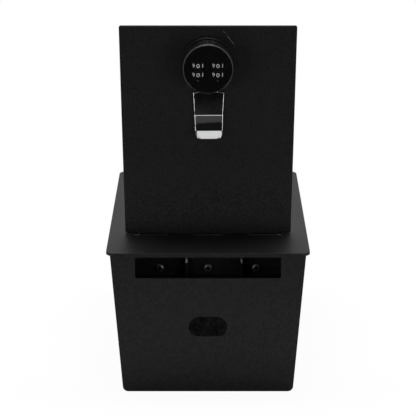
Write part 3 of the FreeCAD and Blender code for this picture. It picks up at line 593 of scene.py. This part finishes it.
def needled_felt():
    """Black needled felt: matted fibres with a dry sheen and a few paler hairs."""
    material, nodes = start_material("needled_felt")
    where = place(nodes)
    lengthways = stretched(nodes, where, (1.0, 0.22, 1.0))
    crossways = stretched(nodes, where, (0.22, 1.0, 1.0))
    matting = noise(
        nodes, stretched(nodes, where, (1.0, 0.45, 1.0)), 300.0, detail=3.0, roughness=0.6, distortion=0.8,
    )
    fibres = noise(nodes, lengthways, 1500.0, detail=3.0, roughness=0.7, distortion=2.0)
    crossing = noise(nodes, crossways, 1500.0, detail=3.0, roughness=0.7, distortion=2.0)
    tangle = fibres.math("MAXIMUM", fibres, crossing)
    hairs = tangle.ramp(0.62, 0.74)
    colour = matting.ramp(0.44, 0.58).mix(grey(0.0001), grey(0.0060, 0.02))
    colour = (hairs * 0.35).mix(colour, grey(0.010))
    normal = bump(nodes, matting * 0.5 + tangle * 0.5, 0.5 * MM, 0.8)
    return finish_material(
        material, nodes, Base_Color=colour, Roughness=matting.between(0.85, 1.0),
        Specular_IOR_Level=0.05, Sheen_Weight=0.01, Normal=normal,
    )


def mesh_of(shape, name):
    """A mesh made from a finished shape, which is used up."""
    mesh = bpy.data.meshes.new(name)
    shape.to_mesh(mesh)
    shape.free()
    return mesh


def shape_of_node(name):
    """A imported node's own shape, with its doubled points joined."""
    shape = bmesh.new()
    shape.from_mesh(frame["nodes"][name].data)
    bmesh.ops.remove_doubles(shape, verts=shape.verts, dist=WELD)
    return shape


def finish_piece(name, shape, material, body, smooth=False):
    """A finished piece: its material, the body it rides on and the finish that it takes."""
    mesh = mesh_of(shape, name)
    piece = bpy.data.objects.new(name, mesh)
    bpy.context.scene.collection.objects.link(piece)
    mesh.materials.append(material)
    for polygon in mesh.polygons:
        polygon.use_smooth = smooth
    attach(piece, body)
    return piece


def digit_outline(text):
    """Shape of one digit at a font size of one, a unit thick."""
    curve = bpy.data.curves.new("digit_outline", "FONT")
    curve.body = text
    curve.size = 1.0
    curve.offset = -OUTLINE_THINNING
    curve.extrude = 0.5
    curve.resolution_u = OUTLINE_STEPS
    curve.fill_mode = "FRONT"
    holder = bpy.data.objects.new("digit_outline", curve)
    bpy.context.scene.collection.objects.link(holder)
    bpy.context.view_layer.update()
    evaluated = holder.evaluated_get(bpy.context.evaluated_depsgraph_get())
    mesh = bpy.data.meshes.new_from_object(evaluated)
    shape = bmesh.new()
    shape.from_mesh(mesh)
    bmesh.ops.remove_doubles(shape, verts=shape.verts, dist=OUTLINE_WELD)
    bpy.data.meshes.remove(mesh)
    bpy.data.objects.remove(holder)
    bpy.data.curves.remove(curve)
    return shape


def bent_digit(digit):
    """One digit at its place on a wheel, sliced upright and bent round the wheel's axis."""
    shape = digit_outline(str(digit))
    low = Vector(min(v.co[i] for v in shape.verts) for i in range(3))
    high = Vector(max(v.co[i] for v in shape.verts) for i in range(3))
    middle = (low + high) / 2
    size = high - low
    tall = DIGIT_HEIGHT / size.y
    wide = min(tall * DIGIT_SPREAD, DIGIT_WIDTH / size.x)
    for vertex in shape.verts:
        offset = vertex.co - middle
        rise = DIGIT_RISE if offset.z > 0 else -DIGIT_ROOT
        vertex.co = Vector((offset.x * wide, offset.y * tall, rise))
    reach = size.x * wide / 2
    for cut in range(1, DIGIT_SLICES):
        across = -reach + 2 * reach * cut / DIGIT_SLICES
        parts = shape.verts[:] + shape.edges[:] + shape.faces[:]
        bmesh.ops.bisect_plane(shape, geom=parts, plane_co=(across, 0, 0), plane_no=(1, 0, 0))
    turn = 2 * math.pi * digit / DIGIT_COUNT
    for vertex in shape.verts:
        angle = turn + vertex.co.x / WHEEL_RADIUS
        radius = WHEEL_RADIUS + vertex.co.z
        vertex.co = Vector((radius * math.sin(angle), vertex.co.y, radius * math.cos(angle)))
    return shape


def wheel_digits(index, paint):
    """Ten digits raised on one dial wheel."""
    joint = joint_named("wheel_%d_turn" % index)
    ring = bmesh.new()
    for digit in range(DIGIT_COUNT):
        mesh = mesh_of(bent_digit(digit), "digit")
        ring.from_mesh(mesh)
        bpy.data.meshes.remove(mesh)
    bmesh.ops.recalc_face_normals(ring, faces=ring.faces)
    ring.transform(upright(lid_out, joint["axis"], joint["pos_m"]))
    return finish_piece("wheel_digits_%d" % index, ring, paint, "wheel_%d" % index)


def index_marks(paint):
    """Small pointers on the knob's face under the lower pair of wheels."""
    shape = bmesh.new()
    corners = ((-MARK_HALF, -MARK_BASE), (MARK_HALF, -MARK_BASE), (0.0, -MARK_TIP))
    for index in MARKED_WHEELS:
        joint = joint_named("wheel_%d_turn" % index)
        centre = lock_axes.inverted() @ Vector(joint["pos_m"])
        foot = [shape.verts.new(centre + Vector((x, y, MARK_FOOT))) for x, y in corners]
        top = [shape.verts.new(centre + Vector((x, y, MARK_TOP))) for x, y in corners]
        shape.faces.new(top)
        shape.faces.new(foot[::-1])
        for first in range(len(corners)):
            second = (first + 1) % len(corners)
            shape.faces.new((foot[first], foot[second], top[second], top[first]))
    shape.transform(lock_axes)
    return finish_piece("index_marks", shape, paint, "knob")


def rounded_path(corners, radii, steps):
    """Points along a path of straight runs whose inner corners are rounded."""
    points = [corners[0]]
    for before, corner, after, radius in zip(corners, corners[1:], corners[2:], radii):
        back = (before - corner).normalized()
        ahead = (after - corner).normalized()
        half = back.angle(ahead) / 2
        trim = radius / math.tan(half)
        centre = corner + (back + ahead).normalized() * (radius / math.sin(half))
        first = corner + back * trim - centre
        last = corner + ahead * trim - centre
        for step in range(steps + 1):
            points.append(centre + first.slerp(last, step / steps).normalized() * radius)
    points.append(corners[-1])
    return points


def spread_path(points, spacing):
    """The same path with points no further apart than spacing."""
    filled = [points[0]]
    for start, end in zip(points, points[1:]):
        count = max(1, math.ceil((end - start).length / spacing))
        for step in range(1, count + 1):
            filled.append(start.lerp(end, step / count))
    return filled


def pull_middle_line():
    """Middle of the pull's thickness from the side: up from the knob's axis, and out from the lid."""
    back = [
        Vector((PULL_TOP, 0.0)),
        Vector((-PULL_CREASE, 0.0)),
        Vector((-PULL_SCOOP, PULL_SCOOP_RISE)),
        Vector((-PULL_END, PULL_SCOOP_RISE + PULL_LIP_RISE)),
    ]
    corners = []
    for index, corner in enumerate(back):
        ways = []
        if index > 0:
            ways.append((corner - back[index - 1]).normalized())
        if index < len(back) - 1:
            ways.append((back[index + 1] - corner).normalized())
        normals = [Vector((way.y, -way.x)) for way in ways]
        bisector = sum(normals, Vector((0.0, 0.0))).normalized()
        corners.append(corner + bisector * (PULL_THICKNESS / 2 / bisector.dot(normals[0])))
    scoop_middle = (corners[1] + corners[2]) / 2
    scoop_way = (corners[2] - corners[1]).normalized()
    corners.insert(2, scoop_middle + Vector((-scoop_way.y, scoop_way.x)) * PULL_SAG)
    radii = [PULL_CREASE_BEND, PULL_SCOOP_SWEEP, PULL_SCOOP_BEND]
    return spread_path(rounded_path(corners, radii, PULL_BEND_STEPS), PULL_SPACING)


def pull_half_width(along, end, left):
    """Half width of the pull, by how far it is from the knob's axis and how much of it is left."""
    if along < PULL_SHOULDER:
        rise = max(0.0, 1 - (PULL_SHOULDER - along) / PULL_SHOULDER_LENGTH)
        half = PULL_NECK_HALF + (PULL_ROOT_HALF - PULL_NECK_HALF) * math.sqrt(rise * (2 - rise))
    elif along < PULL_CREASE:
        share = (along - PULL_SHOULDER) / (PULL_CREASE - PULL_SHOULDER)
        half = PULL_ROOT_HALF + (PULL_CREASE_HALF - PULL_ROOT_HALF) * share
    else:
        share = (along - PULL_CREASE) / (end - PULL_CREASE)
        half = PULL_CREASE_HALF + (PULL_LIP_HALF - PULL_CREASE_HALF) * share
    if left < PULL_CORNER_RISE:
        half -= PULL_CORNER * (1 - math.sqrt(1 - (1 - left / PULL_CORNER_RISE) ** 2))
    return half


def pull_half_thickness(left):
    """Half thickness of the pull, which thins towards its lip and ends in a round."""
    lip = min(1.0, left / PULL_LIP_LENGTH)
    thin = PULL_THICKNESS / 2 * (PULL_LIP_SHARE + (1 - PULL_LIP_SHARE) * lip)
    if left < PULL_END_ROUND:
        thin *= math.sqrt(max(PULL_TIP_SHARE ** 2, 1 - (1 - left / PULL_END_ROUND) ** 2))
    return thin


def pull_bow(along):
    """How far the pull bows out between the knob's edge and its crease."""
    share = min(1.0, max(0.0, (along - PULL_KNOB_EDGE) / (PULL_CREASE - PULL_KNOB_EDGE)))
    return PULL_BOW * (2 * share - share * share)


def pull_ring(shape, point, normal, half, thin, shift, roll):
    """One cross section of the pull: flat faces with rounded edges, slightly rolled."""
    ring = []
    for side in (1, -1):
        for step in range(PULL_FACE_POINTS):
            across = side * (half - PULL_EDGE) * (2 * step / (PULL_FACE_POINTS - 1) - 1)
            ring.append((across, side * thin))
        for step in range(1, PULL_EDGE_STEPS):
            angle = math.pi * step / PULL_EDGE_STEPS
            across = side * (half - PULL_EDGE + PULL_EDGE * math.sin(angle))
            ring.append((across, side * thin * math.cos(angle)))
    vertices = []
    for across, out in ring:
        spot = point + normal * (out + across * roll)
        vertices.append(shape.verts.new((across + shift, spot.x, spot.y)))
    return vertices


def finger_pull(material):
    """Chromed pull: a strap pressed to a crease and a scooped lip, with rounded edges."""
    line = pull_middle_line()
    reach = [0.0]
    for start, end in zip(line, line[1:]):
        reach.append(reach[-1] + (end - start).length)
    shape = bmesh.new()
    rings = []
    for index, point in enumerate(line):
        before = line[max(index - 1, 0)]
        after = line[min(index + 1, len(line) - 1)]
        way = (after - before).normalized()
        normal = Vector((way.y, -way.x))
        along = -point.x
        left = reach[-1] - reach[index]
        half = pull_half_width(along, -line[-1].x, left)
        thin = pull_half_thickness(left)
        centre = point + normal * (PULL_THICKNESS / 2 - thin + pull_bow(along))
        lower = max(0.0, (along - PULL_TWIST_START) / (PULL_END - PULL_TWIST_START))
        shift = PULL_SHIFT + PULL_LIP_SHIFT * lower
        rings.append(pull_ring(shape, centre, normal, half, thin, shift, PULL_TWIST * lower))
    for first, second in zip(rings, rings[1:]):
        count = len(first)
        for index in range(count):
            following = (index + 1) % count
            shape.faces.new((first[index], first[following], second[following], second[index]))
    shape.faces.new(rings[0][::-1])
    shape.faces.new(rings[-1])
    bmesh.ops.recalc_face_normals(shape, faces=shape.faces)
    shape.transform(lock_axes)
    piece = finish_piece("finger_pull", shape, material, "lid", smooth=True)
    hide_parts("pull_tab")


def floor_mat(material):
    """Felt mat on the floor of the tub, with its cut edges rounded."""
    shape = shape_of_node("floor_mat")
    flat = math.radians(MAT_FLAT_ANGLE)
    bmesh.ops.dissolve_limit(shape, angle_limit=flat, verts=shape.verts, edges=shape.edges)
    sharp = math.radians(MAT_EDGE_ANGLE)
    rim = [edge for edge in shape.edges if edge.calc_face_angle(0) > sharp]
    bmesh.ops.bevel(
        shape, geom=rim, offset=MAT_EDGE, segments=MAT_EDGE_STEPS, profile=0.5, affect="EDGES",
    )
    piece = finish_piece("felt_mat", shape, material, "box")
    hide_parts("floor_mat")


def frame_corner_centre(side, end, radius):
    """Centre of a corner arc of the top frame, on the side and at the end given by two signs."""
    slope = (FRAME_REAR_HALF - FRAME_FRONT_HALF) / (2 * FRAME_HALF_DEPTH)
    y = end * (FRAME_HALF_DEPTH - radius)
    half = FRAME_FRONT_HALF + slope * (y + FRAME_HALF_DEPTH)
    return Vector((side * (half - radius * math.hypot(1, slope)), y))


def frame_plate(material):
    """Top frame with its four outer corners eased to a larger radius."""
    shape = shape_of_node("top_frame")
    growth = FRAME_SOFT_CORNER - FRAME_CORNER
    for side in (1, -1):
        for end in (1, -1):
            tight = frame_corner_centre(side, end, FRAME_CORNER)
            eased = frame_corner_centre(side, end, FRAME_SOFT_CORNER)
            for vertex in shape.verts:
                offset = vertex.co.xy - tight
                if min(offset.x * side, offset.y * end) > -FRAME_CORNER_SLACK:
                    vertex.co.xy = eased + offset + offset.normalized() * growth
    piece = finish_piece("frame_plate", shape, material, "box")
    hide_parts("top_frame")


def dress_nodes(finishes):
    """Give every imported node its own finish, or else the one for its slot in the record."""
    for part in frame["record"]["subparts"]:
        node = frame["nodes"][part["node"]]
        material = finishes.get(part["node"]) or finishes[part["material_slot"]]
        node.data.materials.clear()
        node.data.materials.append(material)


def camera():
    """The photograph's viewpoint."""
    data = bpy.data.cameras.new("camera")
    data.sensor_width = SENSOR_WIDTH
    data.lens = FOCAL_PIXELS * SENSOR_WIDTH / IMAGE_SIZE
    holder = bpy.data.objects.new("camera", data)
    holder.location = CAMERA_PLACE
    holder.rotation_euler = (math.radians(90 - CAMERA_PITCH), 0.0, 0.0)
    bpy.context.scene.collection.objects.link(holder)
    bpy.context.scene.camera = holder


def studio_world():
    """White backdrop behind the object, grey at its sides and a dim room in front of it."""
    world = bpy.data.worlds.new("studio")
    bpy.context.scene.world = world
    world.use_nodes = True
    tree = world.node_tree
    tree.nodes.clear()
    nodes = Socket(tree)
    way = nodes.add("ShaderNodeTexCoord", output="Generated")
    depth = axis_part(nodes, way, "Y")
    height = axis_part(nodes, way, "Z")
    stops = [(at, grey(level)) for at, level in ROOM_LEVELS]
    room = nodes.add("ShaderNodeValToRGB", {"stops": stops}, {0: height * 0.5 + 0.5})
    beside = depth.ramp(*SIDE_EDGE).mix(room, grey(SIDE_LEVEL))
    backdrop = depth.ramp(*BACKDROP_EDGE)
    light = backdrop.mix(beside, grey(BACKDROP_LEVEL))
    seen = nodes.add("ShaderNodeLightPath", output="Is Camera Ray")
    seen = seen + nodes.add("ShaderNodeLightPath", output="Is Transmission Ray")
    mirrored = nodes.add("ShaderNodeLightPath", output="Is Glossy Ray") * backdrop
    colour = (seen + mirrored).clamped().mix(light, grey(1.0))
    background = nodes.add("ShaderNodeBackground", None, {"Color": colour, "Strength": 1.0})
    nodes.add("ShaderNodeOutputWorld", None, {"Surface": background})


def pale_floor():
    """Pale matt table top that the camera sees as nearly white."""
    material, nodes = start_material("pale_floor")
    tone = noise(nodes, place(nodes), 30.0, detail=3.0)
    matt = nodes.add("ShaderNodeBsdfDiffuse", None, {"Color": tone.mix(grey(0.90), grey(0.93))})
    glow = nodes.add("ShaderNodeEmission", None, {"Color": grey(1.0), "Strength": 1.0})
    white = nodes.add("ShaderNodeLightPath", output="Is Camera Ray") * FLOOR_WHITENESS
    surface = nodes.add("ShaderNodeMixShader", None, {0: white, 1: matt, 2: glow})
    nodes.add("ShaderNodeOutputMaterial", None, {"Surface": surface})
    return material


def studio_floor(material):
    """Round table top that the box stands on."""
    shape = bmesh.new()
    bmesh.ops.create_circle(shape, cap_ends=True, segments=FLOOR_SIDES, radius=FLOOR_RADIUS)
    mesh = mesh_of(shape, "floor")
    mesh.materials.append(material)
    floor = bpy.data.objects.new("floor", mesh)
    floor.location = (0.0, 0.0, -FLOOR_DROP)
    bpy.context.scene.collection.objects.link(floor)


def softbox(name, location, target, size, watts):
    """Large soft lamp aimed at a point."""
    data = bpy.data.lights.new(name, "AREA")
    data.shape = "RECTANGLE"
    data.size, data.size_y = size
    data.energy = watts
    holder = bpy.data.objects.new(name, data)
    holder.location = location
    way = Vector(target) - Vector(location)
    holder.rotation_euler = way.to_track_quat("-Z", "Y").to_euler()
    bpy.context.scene.collection.objects.link(holder)


camera()
studio_world()
studio_floor(pale_floor())
for lamp, settings in LAMPS.items():
    softbox(lamp, *settings)

# Finishes by slot in the record, and for some nodes by their own name
finishes = {
    "powder_coat": powder_coat("powder_coat"),
    # The lid's coat is a darker copy of the powder coat, a painted shade, painted paler low down as painted light
    "lid_plate": powder_coat("lid_coat", tone=0.78, scratch=LID_SCRATCH),
    # The hinge pocket's coat is a paler copy of the powder coat, painted light in the shaded pocket
    "hinge_pocket": powder_coat("pocket_coat_painted_light", tone=2.6),
    "lock_black": lock_lacquer(),
    "knob_body": turned_black(
        "knob_black", KNOB_RADIUS, KNOB_TOP, RIM_CHAMFER, rim_tone=0.12, land_tone=0.010,
    ),
    "lock_barrel": turned_black(
        "escutcheon_black", BASE_RADIUS, BASE_TOP, BASE_CHAMFER, rim_tone=0.022, land_tone=0.002,
    ),
    "wheel_black": wheel_plastic(),
    "hinge_screws": screw_steel(),
    "pocket_gussets": rubbed_gussets(),
    "chrome": chrome_plate(),
    "zinc_plate": zinc_plate(),
    "black_oxide": black_oxide(),
    "felt": needled_felt(),
}
dress_nodes(finishes)

white_print = digit_paint("white_print", thin=0.74, full=0.92)
for wheel in range(1, WHEEL_COUNT + 1):
    wheel_digits(wheel, white_print)
index_marks(digit_paint("grey_print", thin=0.03, full=0.06))
finger_pull(finishes["chrome"])
floor_mat(finishes["felt"])
frame_plate(finishes["powder_coat"])

bpy.context.scene.view_settings.view_transform = "Standard"
